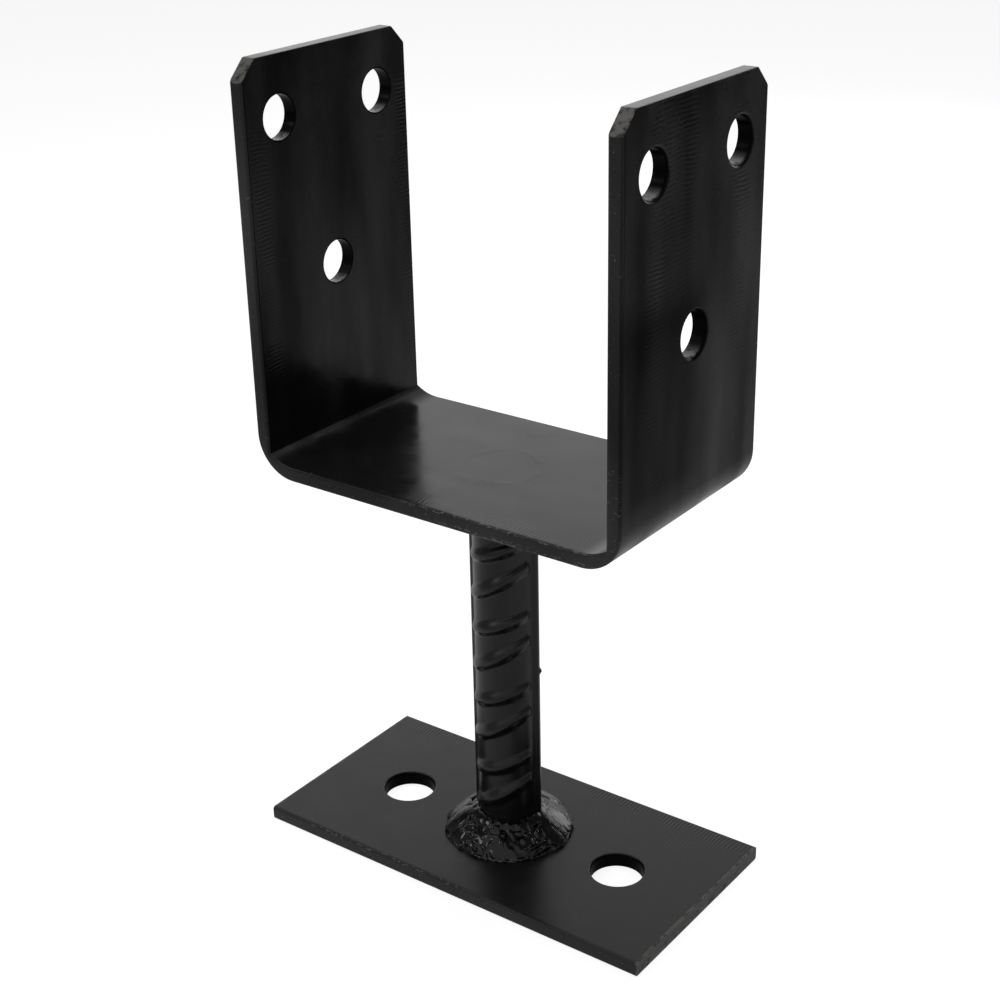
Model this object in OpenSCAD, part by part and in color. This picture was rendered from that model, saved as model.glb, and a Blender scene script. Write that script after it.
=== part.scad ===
// Welded post base: a U of flat bar on a ribbed bar, standing on a drilled plate, all in millimetres.
// Frame: origin under the middle of the plate, X across the U, Y along the bar's width, Z up.

/* [Flat bar] */
// width of the flat bar the U and the plate are cut from
bar_w = 60; // [50:1:80]
// thickness of the bar bent into the U
bar_t = 4; // [3:0.5:6]
// radius on the rolled long edges of the bar
edge_r = 0.8; // [0.4:0.1:1.2]

/* [U bracket] */
// clear width between the two flanges
seat_w = 101; // [71:1:141]
// clear height of a flange above the floor
seat_h = 100; // [80:1:130]
// inside radius of the two bends
bend_r = 7; // [4:0.5:12]
// 45 degree crop at each top corner
crop = 5; // [2:0.5:10]
// diameter of the flange holes
flange_hole_d = 11; // [8:0.5:14]
// distance between the two upper holes of a flange
flange_hole_gap = 36; // [26:1:44]
// height of the upper holes above the floor
upper_hole_h = 85; // [70:1:90]
// height of the lower hole above the floor
lower_hole_h = 45; // [30:1:55]
// rounding the punch leaves where it enters a hole
roll_r = 0.6; // [0.2:0.1:1]

/* [Base plate] */
// length of the plate across the U
plate_l = 120; // [100:1:160]
// thickness of the plate
plate_t = 4; // [3:0.5:8]
// diameter of the two anchor holes
plate_hole_d = 14; // [9:0.5:16]
// distance between the two anchor holes
plate_hole_gap = 70; // [60:1:90]

/* [Ribbed bar] */
// height of the ribbed bar between the plate and the U
stem_h = 103; // [96:1:200]
// core diameter of the ribbed bar
stem_core_d = 16; // [14:0.5:18]
// how far the two lengthwise ribs stand out of the core
long_rib_h = 1.3; // [0.8:0.1:1.8]
// width of a lengthwise rib at its crest
long_rib_crest_w = 1.6; // [1:0.1:2.4]
// width of a lengthwise rib where it leaves the core
long_rib_foot_w = 3.4; // [2.6:0.1:4.4]
// turn of the bar about its own axis
stem_turn = 15; // [0:1:90]
// height of a cross rib at the middle of its run
cross_rib_h = 1.2; // [0.8:0.1:1.8]
// height of a cross rib where it stops
cross_rib_end_h = 0.35; // [0.2:0.05:0.6]
// half the angle a cross rib covers round the core
cross_rib_half = 68; // [55:1:70]
// width of a cross rib at its crest
cross_rib_crest_w = 1.2; // [0.8:0.1:2]
// width of a cross rib at its foot
cross_rib_foot_w = 4.2; // [3:0.1:5]
// distance from one steep rib to the next
rib_pair_pitch = 20.9; // [18:0.1:26]
// slope of the steep ribs
steep_slope = 36; // [30:1:42]
// slope of the shallow ribs
shallow_slope = 23; // [15:1:28]
// slope of the ribs on the back row
back_slope = 30; // [20:1:40]
// height of the first steep rib above the plate
first_steep_h = 14.4; // [14:0.1:18]
// height of the first shallow rib above the plate
first_shallow_h = 23.6; // [22:0.1:28]
// height of the first back rib above the plate
first_back_h = 15.2; // [14:0.1:18]

/* [Lower weld] */
// mean distance from the bar's axis to the toe of the weld
low_toe_r = 17; // [13:0.5:20]
// height of the weld up the bar
low_top_h = 6.8; // [4:0.2:7]
// outward swell of the weld face
low_swell = 1.5; // [0:0.1:2.5]
// how far the weld toe wanders in and out
low_wander = 1.2; // [0:0.1:2]
// depth of the ripples on the weld
low_ripple = 0.3; // [0:0.05:0.6]
// count of ripples round the weld
low_ripple_n = 19; // [9:1:30]
// depth of the dip where the last run stopped short
low_dip = 3; // [0:0.1:4]
// direction of that dip
low_dip_at = 16; // [0:1:359]
// spread of that dip in degrees
low_dip_wide = 22; // [8:1:30]

/* [Upper weld] */
// mean distance from the bar's axis to the toe of the upper weld
up_toe_r = 13.5; // [12:0.5:18]
// height of the upper weld down the bar
up_top_h = 4.8; // [3:0.2:6]
// outward swell of the upper weld face
up_swell = 0.8; // [0:0.1:2]
// how far the upper toe wanders in and out
up_wander = 0.7; // [0:0.1:1.5]
// depth of the ripples on the upper weld
up_ripple = 0.25; // [0:0.05:0.5]
// count of ripples round the upper weld
up_ripple_n = 23; // [9:1:30]

/* [Hidden] */
eps = 0.5;
round_fn = 64;
corner_steps = 3;
outer_r = bend_r + bar_t;
u_w = seat_w + 2 * bar_t;
stem_top = plate_t + stem_h;
floor_z = stem_top + bar_t;
u_top = floor_z + seat_h;
core_r = stem_core_d / 2;
rib_mid_r = core_r + cross_rib_h;
rib_end_x = (core_r + cross_rib_end_h) * cos(cross_rib_half);
rib_end_y = (core_r + cross_rib_end_h) * sin(cross_rib_half);
rib_root = 2.6;
front_row = stem_turn - 90;
back_row = stem_turn + 90;
front_pairs = 4;
back_ribs = 8;
bead_steps = 60;
bead_points = 7;
bead_inner_r = core_r - 3;
bead_root_r = core_r - 1;

// outline of the flat bar's cross section, thickness along x and width along y, with rounded corners
function bar_corner(sx, sy, w, t, a0) = [
    for (i = [0 : corner_steps])
        [sx * (t / 2 - edge_r) + edge_r * cos(a0 + 90 * i / corner_steps),
         sy * (w / 2 - edge_r) + edge_r * sin(a0 + 90 * i / corner_steps)]
];
function bar_points(w, t) = concat(
    bar_corner(1, 1, w, t, 0),
    bar_corner(-1, 1, w, t, 90),
    bar_corner(-1, -1, w, t, 180),
    bar_corner(1, -1, w, t, 270)
);

// a punched hole: a straight wall that opens into a rounded mouth at height "thick"
function mouth_points(r, thick) = concat(
    [[0, -eps], [r, -eps]],
    [for (i = [0 : 3]) [r + roll_r - roll_r * cos(30 * i), thick - roll_r + roll_r * sin(30 * i)]],
    [[r + roll_r, thick + eps], [0, thick + eps]]
);

// a cross rib lies on a tilted circle; its centre is shifted so that the crest sinks towards both ends
function rib_run(slope) = rib_end_y / cos(slope);
function rib_shift(slope) =
    (pow(rib_mid_r, 2) - pow(rib_end_x, 2) - pow(rib_run(slope), 2)) / (2 * (rib_mid_r - rib_end_x));
function rib_reach(slope) = atan2(rib_run(slope), rib_end_x - rib_shift(slope));
function rib_points(crest_r) = [
    [crest_r - cross_rib_h - rib_root, -cross_rib_foot_w / 2],
    [crest_r - cross_rib_h, -cross_rib_foot_w / 2],
    [crest_r, -cross_rib_crest_w / 2],
    [crest_r, cross_rib_crest_w / 2],
    [crest_r - cross_rib_h, cross_rib_foot_w / 2],
    [crest_r - cross_rib_h - rib_root, cross_rib_foot_w / 2]
];

// weld bead: how far the toe reaches, how high it climbs, and the swollen face between the two
function swing(a, k, p) = sin(k * a + p);
function dip(a, at, wide) = exp(-pow((((a - at + 540) % 360) - 180) / wide, 2));
function ripple(a, n, depth) = depth * (abs(((a * n / 360 + 0.5 * swing(a, 2, 40)) % 1 + 1) % 1 - 0.5) * 2 - 0.5);
function toe(a, r, wander, n, depth) =
    r + wander * (0.6 * swing(a, 1, 200) + 0.5 * swing(a, 2, 75) + 0.35 * swing(a, 5, 10)) + ripple(a, n, depth);
function climb(a, h, wander, sink, at, wide) =
    h + wander * (0.4 * swing(a, 2, 250) + 0.25 * swing(a, 5, 120)) - sink * dip(a, at, wide);
function face_r(r, f, swell) = bead_root_r + (r - bead_root_r) * (1 - f) + swell * 4 * f * (1 - f) * 0.7;
function face_z(h, f, swell) = h * f + swell * 4 * f * (1 - f) * 0.5;
function bead_ring(a, r, h, swell) = concat(
    [[bead_inner_r, 0]],
    [for (j = [0 : bead_points - 1]) [face_r(r, j / (bead_points - 1), swell), face_z(h, j / (bead_points - 1), swell)]],
    [[bead_inner_r, h]]
);
function bead_verts(r, h, swell, wander, depth, n, sink, at, wide) = [
    for (i = [0 : bead_steps - 1])
        for (p = bead_ring(i, toe(360 * i / bead_steps, r, wander, n, depth),
                           climb(360 * i / bead_steps, h, wander, sink, at, wide), swell))
            [p[0] * cos(360 * i / bead_steps), p[0] * sin(360 * i / bead_steps), p[1]]
];
function bead_faces(m) = [
    for (i = [0 : bead_steps - 1])
        for (j = [0 : m - 1])
            for (half = [0 : 1])
                let (i2 = (i + 1) % bead_steps, j2 = (j + 1) % m)
                    half == 0 ? [i * m + j, i * m + j2, i2 * m + j2] : [i * m + j, i2 * m + j2, i2 * m + j]
];

module bar_section(w, t) {
    polygon(bar_points(w, t));
}

module punched_hole(d, thick) {
    rotate_extrude($fn = round_fn)
        polygon(mouth_points(d / 2, thick));
}

module flange(side) {
    translate([side * (seat_w + bar_t) / 2, 0, stem_top + outer_r])
        linear_extrude(height = u_top - stem_top - outer_r)
            bar_section(bar_w, bar_t);
}

module bend(side) {
    translate([side * (u_w / 2 - outer_r), 0, stem_top + outer_r])
        rotate([90, side > 0 ? 90 : 180, 0])
            rotate_extrude(angle = 90, $fn = round_fn)
                translate([bend_r + bar_t / 2, 0])
                    bar_section(bar_w, bar_t);
}

module floor_run() {
    translate([outer_r - u_w / 2, 0, stem_top + bar_t / 2])
        rotate([0, 90, 0])
            linear_extrude(height = u_w - 2 * outer_r)
                bar_section(bar_w, bar_t);
}

module corner_crop(side, end) {
    translate([side * (seat_w + bar_t) / 2, end * bar_w / 2, u_top])
        rotate([45, 0, 0])
            cube([bar_t + 2 * eps, crop * sqrt(2), crop * sqrt(2)], center = true);
}

module flange_hole(side, y, z) {
    translate([side * seat_w / 2, y, z])
        rotate([0, side * 90, 0])
            punched_hole(flange_hole_d, bar_t);
}

module u_bracket() {
    color("#26272a")
        difference() {
            union() {
                floor_run();
                for (side = [-1, 1]) {
                    bend(side);
                    flange(side);
                }
            }
            for (side = [-1, 1]) {
                for (end = [-1, 1]) {
                    corner_crop(side, end);
                    flange_hole(side, end * flange_hole_gap / 2, floor_z + upper_hole_h);
                }
                flange_hole(side, 0, floor_z + lower_hole_h);
            }
        }
}

module base_plate() {
    color("#303134")
        difference() {
            translate([-plate_l / 2, 0, plate_t / 2])
                rotate([0, 90, 0])
                    linear_extrude(height = plate_l)
                        bar_section(bar_w, plate_t);
            for (side = [-1, 1])
                translate([side * plate_hole_gap / 2, 0, 0])
                    punched_hole(plate_hole_d, plate_t);
        }
}

module bar_core_outline() {
    circle(r = core_r, $fn = 96);
    for (turn = [0, 180])
        rotate(turn)
            polygon([
                [core_r - 1, -long_rib_foot_w / 2],
                [core_r + long_rib_h, -long_rib_crest_w / 2],
                [core_r + long_rib_h, long_rib_crest_w / 2],
                [core_r - 1, long_rib_foot_w / 2]
            ]);
}

module cross_rib(row, z, slope) {
    translate([0, 0, plate_t + z])
        rotate([0, 0, row])
            rotate([slope, 0, 0])
                translate([rib_shift(slope), 0, 0])
                    rotate([0, 0, -rib_reach(slope)])
                        rotate_extrude(angle = 2 * rib_reach(slope), $fn = round_fn)
                            polygon(rib_points(rib_mid_r - rib_shift(slope)));
}

module stem() {
    color("#2b2c2f")
        union() {
            translate([0, 0, plate_t])
                rotate([0, 0, stem_turn])
                    linear_extrude(height = stem_h)
                        bar_core_outline();
            for (k = [0 : front_pairs - 1]) {
                cross_rib(front_row, first_steep_h + k * rib_pair_pitch, steep_slope);
                cross_rib(front_row, first_shallow_h + k * rib_pair_pitch, shallow_slope);
            }
            for (k = [0 : back_ribs - 1])
                cross_rib(back_row, first_back_h + k * rib_pair_pitch / 2, back_slope);
        }
}

module bar_in_weld(z, h) {
    translate([0, 0, z])
        rotate([0, 0, stem_turn])
            linear_extrude(height = h)
                bar_core_outline();
}

module lower_weld() {
    color("#1f2022")
        difference() {
            translate([0, 0, plate_t])
                polyhedron(
                    points = bead_verts(low_toe_r, low_top_h, low_swell, low_wander, low_ripple, low_ripple_n,
                                        low_dip, low_dip_at, low_dip_wide),
                    faces = bead_faces(bead_points + 2)
                );
            bar_in_weld(plate_t - eps, low_top_h * 2);
            cross_rib(front_row, first_steep_h, steep_slope);
        }
}

module upper_weld() {
    color("#1f2022")
        difference() {
            translate([0, 0, stem_top])
                rotate([180, 0, 0])
                    polyhedron(
                        points = bead_verts(up_toe_r, up_top_h, up_swell, up_wander, up_ripple, up_ripple_n, 0, 0, 10),
                        faces = bead_faces(bead_points + 2)
                    );
            bar_in_weld(stem_top - up_top_h * 2, up_top_h * 2 + eps);
        }
}

base_plate();
stem();
u_bracket();
lower_weld();
upper_weld();
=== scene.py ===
"""Dresses the welded post base: a U of flat bar on a ribbed bar, standing on a drilled plate.

Every size in the classes is in millimetres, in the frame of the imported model: the origin is under
the middle of the base plate, X runs across the U, Y along the width of the flat bar, Z up.
"""

import logging
import math
import random
from collections.abc import Callable, Iterator
from contextlib import contextmanager
from dataclasses import dataclass, field
from enum import Enum

import bmesh
import bpy
from mathutils import Euler, Matrix, Vector


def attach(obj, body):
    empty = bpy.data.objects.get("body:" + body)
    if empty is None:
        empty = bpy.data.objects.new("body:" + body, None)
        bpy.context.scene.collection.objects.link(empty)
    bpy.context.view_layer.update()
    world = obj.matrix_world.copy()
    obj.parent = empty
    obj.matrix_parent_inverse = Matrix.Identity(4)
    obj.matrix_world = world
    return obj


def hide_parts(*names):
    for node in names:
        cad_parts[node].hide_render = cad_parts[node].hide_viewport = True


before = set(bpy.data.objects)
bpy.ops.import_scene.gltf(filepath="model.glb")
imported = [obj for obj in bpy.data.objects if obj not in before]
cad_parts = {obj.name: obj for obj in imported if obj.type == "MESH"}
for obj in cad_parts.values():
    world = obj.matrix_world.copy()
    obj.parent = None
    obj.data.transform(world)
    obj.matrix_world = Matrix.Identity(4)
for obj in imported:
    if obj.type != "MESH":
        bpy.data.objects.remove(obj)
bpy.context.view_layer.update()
MM = 0.001
BODY = "root"
MERGE_MM = 0.0005
ON_PLANE_MM = 0.0001
SHARP_ANGLE = 46.0
FULL_COAT = 0.5
Piece = bpy.types.Object
Tree = bpy.types.NodeTree
Socket = bpy.types.NodeSocket
Triple = tuple[float, float, float]
log = logging.getLogger("post_base")


class Side(Enum):
    """One of the two ends of the U, by the sign of its X."""

    LEFT = -1
    RIGHT = 1


class RunStyle(Enum):
    """How a stretch of weld bead set as the torch moved on."""

    LOBES = "lobes"
    ROUGH = "rough"
    CRESCENTS = "crescents"


def hex_linear(code: str) -> tuple[float, float, float, float]:
    """Turns an sRGB hex colour into the linear one that a shader takes.

    Args:
        code: Six hex digits after a hash sign.

    Returns:
        Red, green, blue and an alpha of 1.
    """
    parts = [int(code[i : i + 2], 16) / 255 for i in (1, 3, 5)]
    red, green, blue = (c / 12.92 if c <= 0.04045 else ((c + 0.055) / 1.055) ** 2.4 for c in parts)
    return (red, green, blue, 1.0)


def add_node(tree: Tree, kind: str, inputs: dict | None = None, **settings: object) -> bpy.types.Node:
    """Adds one node to a tree, with its settings and links.

    Args:
        tree: The node tree that takes the node.
        kind: The node's type name.
        inputs: For each input, by name or number, a value or the output socket to link from.
        **settings: The node's own properties.

    Returns:
        The new node.
    """
    node = tree.nodes.new(kind)
    for name, value in settings.items():
        setattr(node, name, value)
    for key, value in (inputs or {}).items():
        if isinstance(value, Socket):
            tree.links.new(value, node.inputs[key])
        else:
            node.inputs[key].default_value = value
    return node


def empty_tree(owner: bpy.types.Material | bpy.types.World) -> Tree:
    """Gives a material or the world a node tree with nothing in it.

    Args:
        owner: The material or the world.

    Returns:
        The node tree.
    """
    owner.use_nodes = True
    owner.node_tree.nodes.clear()
    return owner.node_tree


@contextmanager
def edit_mode(piece: Piece, select_mode: str = "FACE") -> Iterator[None]:
    """Opens a piece in edit mode with nothing selected, and leaves edit mode at the end.

    Args:
        piece: The mesh object to work on.
        select_mode: VERT, EDGE or FACE.

    Yields:
        Nothing; the operators inside the block act on the piece.
    """
    make_active(piece)
    bpy.ops.object.mode_set(mode="EDIT")
    bpy.ops.mesh.select_mode(type=select_mode)
    bpy.ops.mesh.select_all(action="DESELECT")
    yield
    bpy.ops.object.mode_set(mode="OBJECT")


def make_active(piece: Piece) -> None:
    """Deselects all, then selects one piece and makes it active.

    Args:
        piece: The object that the next operators act on.
    """
    bpy.ops.object.select_all(action="DESELECT")
    piece.select_set(True)
    bpy.context.view_layer.objects.active = piece


def select_faces(piece: Piece, wanted: Callable[[Vector, Vector], bool]) -> None:
    """Selects, in edit mode, the faces that a test wants.

    Args:
        piece: The mesh object that is in edit mode.
        wanted: A test of a face's middle, in millimetres, and its normal.
    """
    mesh = bmesh.from_edit_mesh(piece.data)
    for face in mesh.faces:
        face.select_set(wanted(face.calc_center_median() / MM, face.normal))
    bmesh.update_edit_mesh(piece.data)


def select_edges(piece: Piece, wanted: Callable[[Vector, Vector], bool]) -> None:
    """Selects, in edit mode, the edges whose two ends pass a test.

    Args:
        piece: The mesh object that is in edit mode.
        wanted: A test of an edge's two ends, in millimetres.
    """
    mesh = bmesh.from_edit_mesh(piece.data)
    for edge in mesh.edges:
        first, second = (vert.co / MM for vert in edge.verts)
        edge.select_set(wanted(first, second))
    bmesh.update_edit_mesh(piece.data)


def select_verts(piece: Piece, wanted: Callable[[Vector], bool]) -> None:
    """Selects, in edit mode, the vertices that pass a test.

    Args:
        piece: The mesh object that is in edit mode.
        wanted: A test of a vertex's place, in millimetres.
    """
    mesh = bmesh.from_edit_mesh(piece.data)
    for vert in mesh.verts:
        vert.select_set(wanted(vert.co / MM))
    mesh.select_flush_mode()
    bmesh.update_edit_mesh(piece.data)


def extrude(x: float = 0.0, z: float = 0.0) -> None:
    """Extrudes what is selected by a distance in millimetres."""
    bpy.ops.mesh.extrude_region_move(TRANSFORM_OT_translate={"value": (x * MM, 0, z * MM)})


def cut_off(piece: Piece, point: Triple, normal: Triple) -> None:
    """Cuts off what lies beyond a plane, and closes the cut.

    Args:
        piece: The mesh object.
        point: A point of the plane, in millimetres.
        normal: The way that the part to be cut off lies.
    """
    with edit_mode(piece):
        bpy.ops.mesh.select_all(action="SELECT")
        bpy.ops.mesh.bisect(
            plane_co=[c * MM for c in point],
            plane_no=normal,
            use_fill=True,
            clear_outer=True,
            threshold=ON_PLANE_MM * MM,
        )


def finish_modifier(piece: Piece, kind: str, **settings: object) -> None:
    """Adds a modifier to a piece and applies it at once.

    Args:
        piece: The mesh object.
        kind: The modifier's type name.
        **settings: The modifier's own properties.
    """
    modifier = piece.modifiers.new(kind.title(), kind)
    for name, value in settings.items():
        setattr(modifier, name, value)
    make_active(piece)
    bpy.ops.object.modifier_apply(modifier=modifier.name)


def fuse(piece: Piece, grain_mm: float, smooth_rounds: int) -> None:
    """Makes one smooth skin of bodies that run into each other.

    Args:
        piece: The mesh object that holds the bodies.
        grain_mm: The size of the skin's faces.
        smooth_rounds: How many times the skin is smoothed.
    """
    finish_modifier(piece, "REMESH", mode="VOXEL", voxel_size=grain_mm * MM, use_smooth_shade=True)
    finish_modifier(piece, "SMOOTH", factor=0.5, iterations=smooth_rounds)


def settle(piece: Piece) -> None:
    """Writes a piece's place, turn and scale into its mesh.

    Args:
        piece: The mesh object.
    """
    make_active(piece)
    bpy.ops.object.transform_apply(location=True, rotation=True, scale=True)


def clean(piece: Piece) -> None:
    """Merges doubles and turns all faces outwards.

    Args:
        piece: The mesh object.
    """
    with edit_mode(piece, "VERT"):
        bpy.ops.mesh.select_all(action="SELECT")
        bpy.ops.mesh.remove_doubles(threshold=MERGE_MM * MM)
        bpy.ops.mesh.normals_make_consistent(inside=False)


def cad_copy(node: str, name: str) -> Piece:
    """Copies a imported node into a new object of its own, with its doubles merged.

    Args:
        node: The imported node's name.
        name: The new object's name.

    Returns:
        The new object.
    """
    piece = bpy.data.objects.new(name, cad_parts[node].data.copy())
    bpy.context.scene.collection.objects.link(piece)
    piece.data.materials.clear()
    with edit_mode(piece, "VERT"):
        bpy.ops.mesh.select_all(action="SELECT")
        bpy.ops.mesh.remove_doubles(threshold=MERGE_MM * MM)
    return piece


def twin(piece: Piece, name: str, place: Matrix) -> Piece:
    """Copies a piece, with a mesh of its own, to another place.

    Args:
        piece: The object to copy.
        name: The copy's name.
        place: The transform that takes the piece to the copy's place.

    Returns:
        The copy.
    """
    copy = bpy.data.objects.new(name, piece.data.copy())
    bpy.context.scene.collection.objects.link(copy)
    copy.data.transform(place)
    return copy


def join(pieces: list[Piece], name: str) -> Piece:
    """Joins several objects into the first one.

    Args:
        pieces: The objects; the first one takes in the others.
        name: The name of the joined object.

    Returns:
        The joined object.
    """
    make_active(pieces[0])
    for piece in pieces:
        piece.select_set(True)
    bpy.ops.object.join()
    pieces[0].name = name
    return pieces[0]


def keep_largest(piece: Piece) -> Piece:
    """Removes the specks that a remesh leaves beside the body of a piece.

    Args:
        piece: The piece.

    Returns:
        The body, which is the part with the most vertices, under the piece's name.
    """
    name = piece.name
    with edit_mode(piece):
        bpy.ops.mesh.select_all(action="SELECT")
        bpy.ops.mesh.separate(type="LOOSE")
    parts = sorted(bpy.context.selected_objects, key=lambda part: len(part.data.vertices))
    body = parts.pop()
    for speck in parts:
        bpy.data.objects.remove(speck)
    body.name = name
    return body


def hand_over(piece: Piece, node: str, material: bpy.types.Material) -> None:
    """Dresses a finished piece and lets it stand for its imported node.

    Args:
        piece: The finished mesh object.
        node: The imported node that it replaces.
        material: The finish.
    """
    piece.data.materials.clear()
    piece.data.materials.append(material)
    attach(piece, BODY)
    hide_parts(node)
    log.info("%s: %d faces, stands for %s", piece.name, len(piece.data.polygons), node)


@dataclass(frozen=True)
class BarStock:
    """The flat bar that the U and the plate are cut from."""

    width: float = 60.0
    thickness: float = 4.0
    edge_radius: float = 0.8
    edge_steps: int = 4

    def section(self, name: str, centre: Triple) -> Piece:
        """Makes the bar's cross section as one face that looks along +X.

        Args:
            name: The new object's name.
            centre: The middle of the section, in millimetres.

        Returns:
            The object that holds the face.
        """
        bpy.ops.object.select_all(action="DESELECT")
        to_x = (0, math.radians(90), 0)
        bpy.ops.mesh.primitive_plane_add(size=1.0, location=[c * MM for c in centre], rotation=to_x)
        piece = bpy.context.object
        piece.name = name
        piece.scale = (self.thickness * MM, self.width * MM, 1.0)
        settle(piece)
        with edit_mode(piece, "VERT"):
            bpy.ops.mesh.select_all(action="SELECT")
            bpy.ops.mesh.bevel(
                offset=self.edge_radius * MM, segments=self.edge_steps, affect="VERTICES", clamp_overlap=True
            )
        return piece


@dataclass(frozen=True)
class PunchedHole:
    """A punched hole: a straight wall that opens into a rounded mouth where the punch went in."""

    radius: float
    roll: float = 0.85
    burr: float = 0.12
    thickness: float = 4.0
    sides: int = 72
    roll_steps: int = 5
    roll_end: float = 75.0
    spare: float = 0.5

    def cutter(self, name: str) -> Piece:
        """Makes the tool that cuts the hole, standing on the origin with its mouth up.

        Args:
            name: The cutter's name.

        Returns:
            The cutter.
        """
        bpy.ops.object.select_all(action="DESELECT")
        height, radius = self.wall()[0]
        bpy.ops.mesh.primitive_circle_add(
            vertices=self.sides, radius=radius * MM, fill_type="NGON", location=(0, 0, height * MM)
        )
        piece = bpy.context.object
        piece.name = name
        settle(piece)
        with edit_mode(piece):
            bpy.ops.mesh.select_all(action="SELECT")
            for next_height, next_radius in self.wall()[1:]:
                extrude(z=next_height - height)
                factor = next_radius / radius
                bpy.ops.transform.resize(value=(factor, factor, 1.0))
                height, radius = next_height, next_radius
        clean(piece)
        return piece

    def wall(self) -> list[tuple[float, float]]:
        """Gives the heights and radii of the wall, from below the foot to above the mouth.

        No ring lies in the plane of a face of the bar, where a cut could fail.

        Returns:
            Pairs of height and radius.
        """
        start = self.thickness - self.roll
        points = [(-self.spare, self.radius + self.burr + self.spare), (self.burr, self.radius)]
        for step in range(self.roll_steps + 1):
            turn = math.radians(self.roll_end * step / self.roll_steps)
            height = start + self.roll * math.sin(turn)
            points.append((height, self.radius + self.roll * (1 - math.cos(turn))))
        rise = self.thickness + self.spare - points[-1][0]
        flare = rise * math.tan(math.radians(self.roll_end))
        return points + [(self.thickness + self.spare, points[-1][1] + flare)]


def cut_holes(piece: Piece, hole: PunchedHole, places: list[Matrix]) -> None:
    """Cuts the same hole at several places of a piece.

    Args:
        piece: The mesh object to cut.
        hole: The hole's sizes.
        places: For each hole, the transform that takes the cutter there, in metres.
    """
    master = hole.cutter("hole_cutter")
    for number, place in enumerate(places):
        cutter = twin(master, f"hole_cutter_{number}", place)
        finish_modifier(piece, "BOOLEAN", operation="DIFFERENCE", solver="EXACT", object=cutter)
        bpy.data.objects.remove(cutter)
    bpy.data.objects.remove(master)
    clean(piece)


def break_edges(piece: Piece, width: float, wanted: Callable[[Vector, Vector], bool]) -> None:
    """Breaks the sharp edges that the shear leaves.

    Args:
        piece: The mesh object.
        width: The width of the broken edge in millimetres.
        wanted: A test of an edge's two ends, in millimetres.
    """
    with edit_mode(piece, "EDGE"):
        select_edges(piece, wanted)
        bpy.ops.mesh.bevel(offset=width * MM, segments=2, affect="EDGES", clamp_overlap=True)


def even_shading(piece: Piece) -> None:
    """Shades a piece smooth, and keeps its sharp edges sharp and its flats flat.

    Args:
        piece: The mesh object.
    """
    make_active(piece)
    bpy.ops.object.shade_smooth_by_angle(angle=math.radians(SHARP_ANGLE))
    finish_modifier(piece, "WEIGHTED_NORMAL", keep_sharp=True, weight=50)


@dataclass(frozen=True)
class Window:
    """A stretch of one coordinate, full in the middle and fading out at both ends, in millimetres."""

    centre: float
    half: float
    fade: float

    def mask(self, tree: Tree, value: Socket) -> Socket:
        """Adds the nodes that are 1 inside the stretch and 0 outside it.

        Args:
            tree: The material's node tree.
            value: The coordinate in millimetres.

        Returns:
            The mask.
        """
        offset = add_node(tree, "ShaderNodeMath", {0: value, 1: self.centre}, operation="SUBTRACT").outputs[0]
        away = add_node(tree, "ShaderNodeMath", {0: offset}, operation="ABSOLUTE").outputs[0]
        ends = {"From Min": self.half, "From Max": self.half + self.fade, "To Min": 1.0, "To Max": 0.0}
        return add_node(
            tree, "ShaderNodeMapRange", {"Value": away, **ends}, interpolation_type="SMOOTHSTEP"
        ).outputs[0]


def product(tree: Tree, *values: Socket | float) -> Socket:
    """Multiplies several sockets or numbers.

    Args:
        tree: The material's node tree.
        *values: The factors.

    Returns:
        The product.
    """
    result = values[0]
    for value in values[1:]:
        result = add_node(tree, "ShaderNodeMath", {0: result, 1: value}, operation="MULTIPLY").outputs[0]
    return result


def total(tree: Tree, *values: Socket | float) -> Socket:
    """Adds up several sockets or numbers.

    Args:
        tree: The material's node tree.
        *values: The terms.

    Returns:
        The sum.
    """
    result = values[0]
    for value in values[1:]:
        result = add_node(tree, "ShaderNodeMath", {0: result, 1: value}, operation="ADD").outputs[0]
    return result


def less(tree: Tree, *values: Socket | float) -> Socket:
    """Gives what is left of 1 when the product of several values is taken off.

    Args:
        tree: The material's node tree.
        *values: The factors of what is taken off.

    Returns:
        The rest.
    """
    return total(tree, 1.0, product(tree, *values, -1.0))


@dataclass(frozen=True)
class Flecks:
    """Noise that is cut to patches: their size in millimetres, and the noise levels they fade in between.

    The share is how much of the steel they lay open, where they are chips or scuffs, and how strong the
    painted light is, where they are painted highlights.
    """

    size_mm: float
    low: float
    high: float
    share: float = 1.0

    def mask(self, tree: Tree, place: Socket) -> Socket:
        """Adds the nodes that are 1 in the patches and 0 between them.

        Args:
            tree: The material's node tree.
            place: The coordinates in millimetres.

        Returns:
            The mask.
        """
        grain = {"Scale": 1 / self.size_mm, "Detail": 3.0, "Roughness": 0.55}
        noise = add_node(tree, "ShaderNodeTexNoise", {"Vector": place, **grain}).outputs["Fac"]
        levels = {"From Min": self.low, "From Max": self.high}
        return add_node(
            tree, "ShaderNodeMapRange", {"Value": noise, **levels}, interpolation_type="SMOOTHSTEP"
        ).outputs[0]


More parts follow.
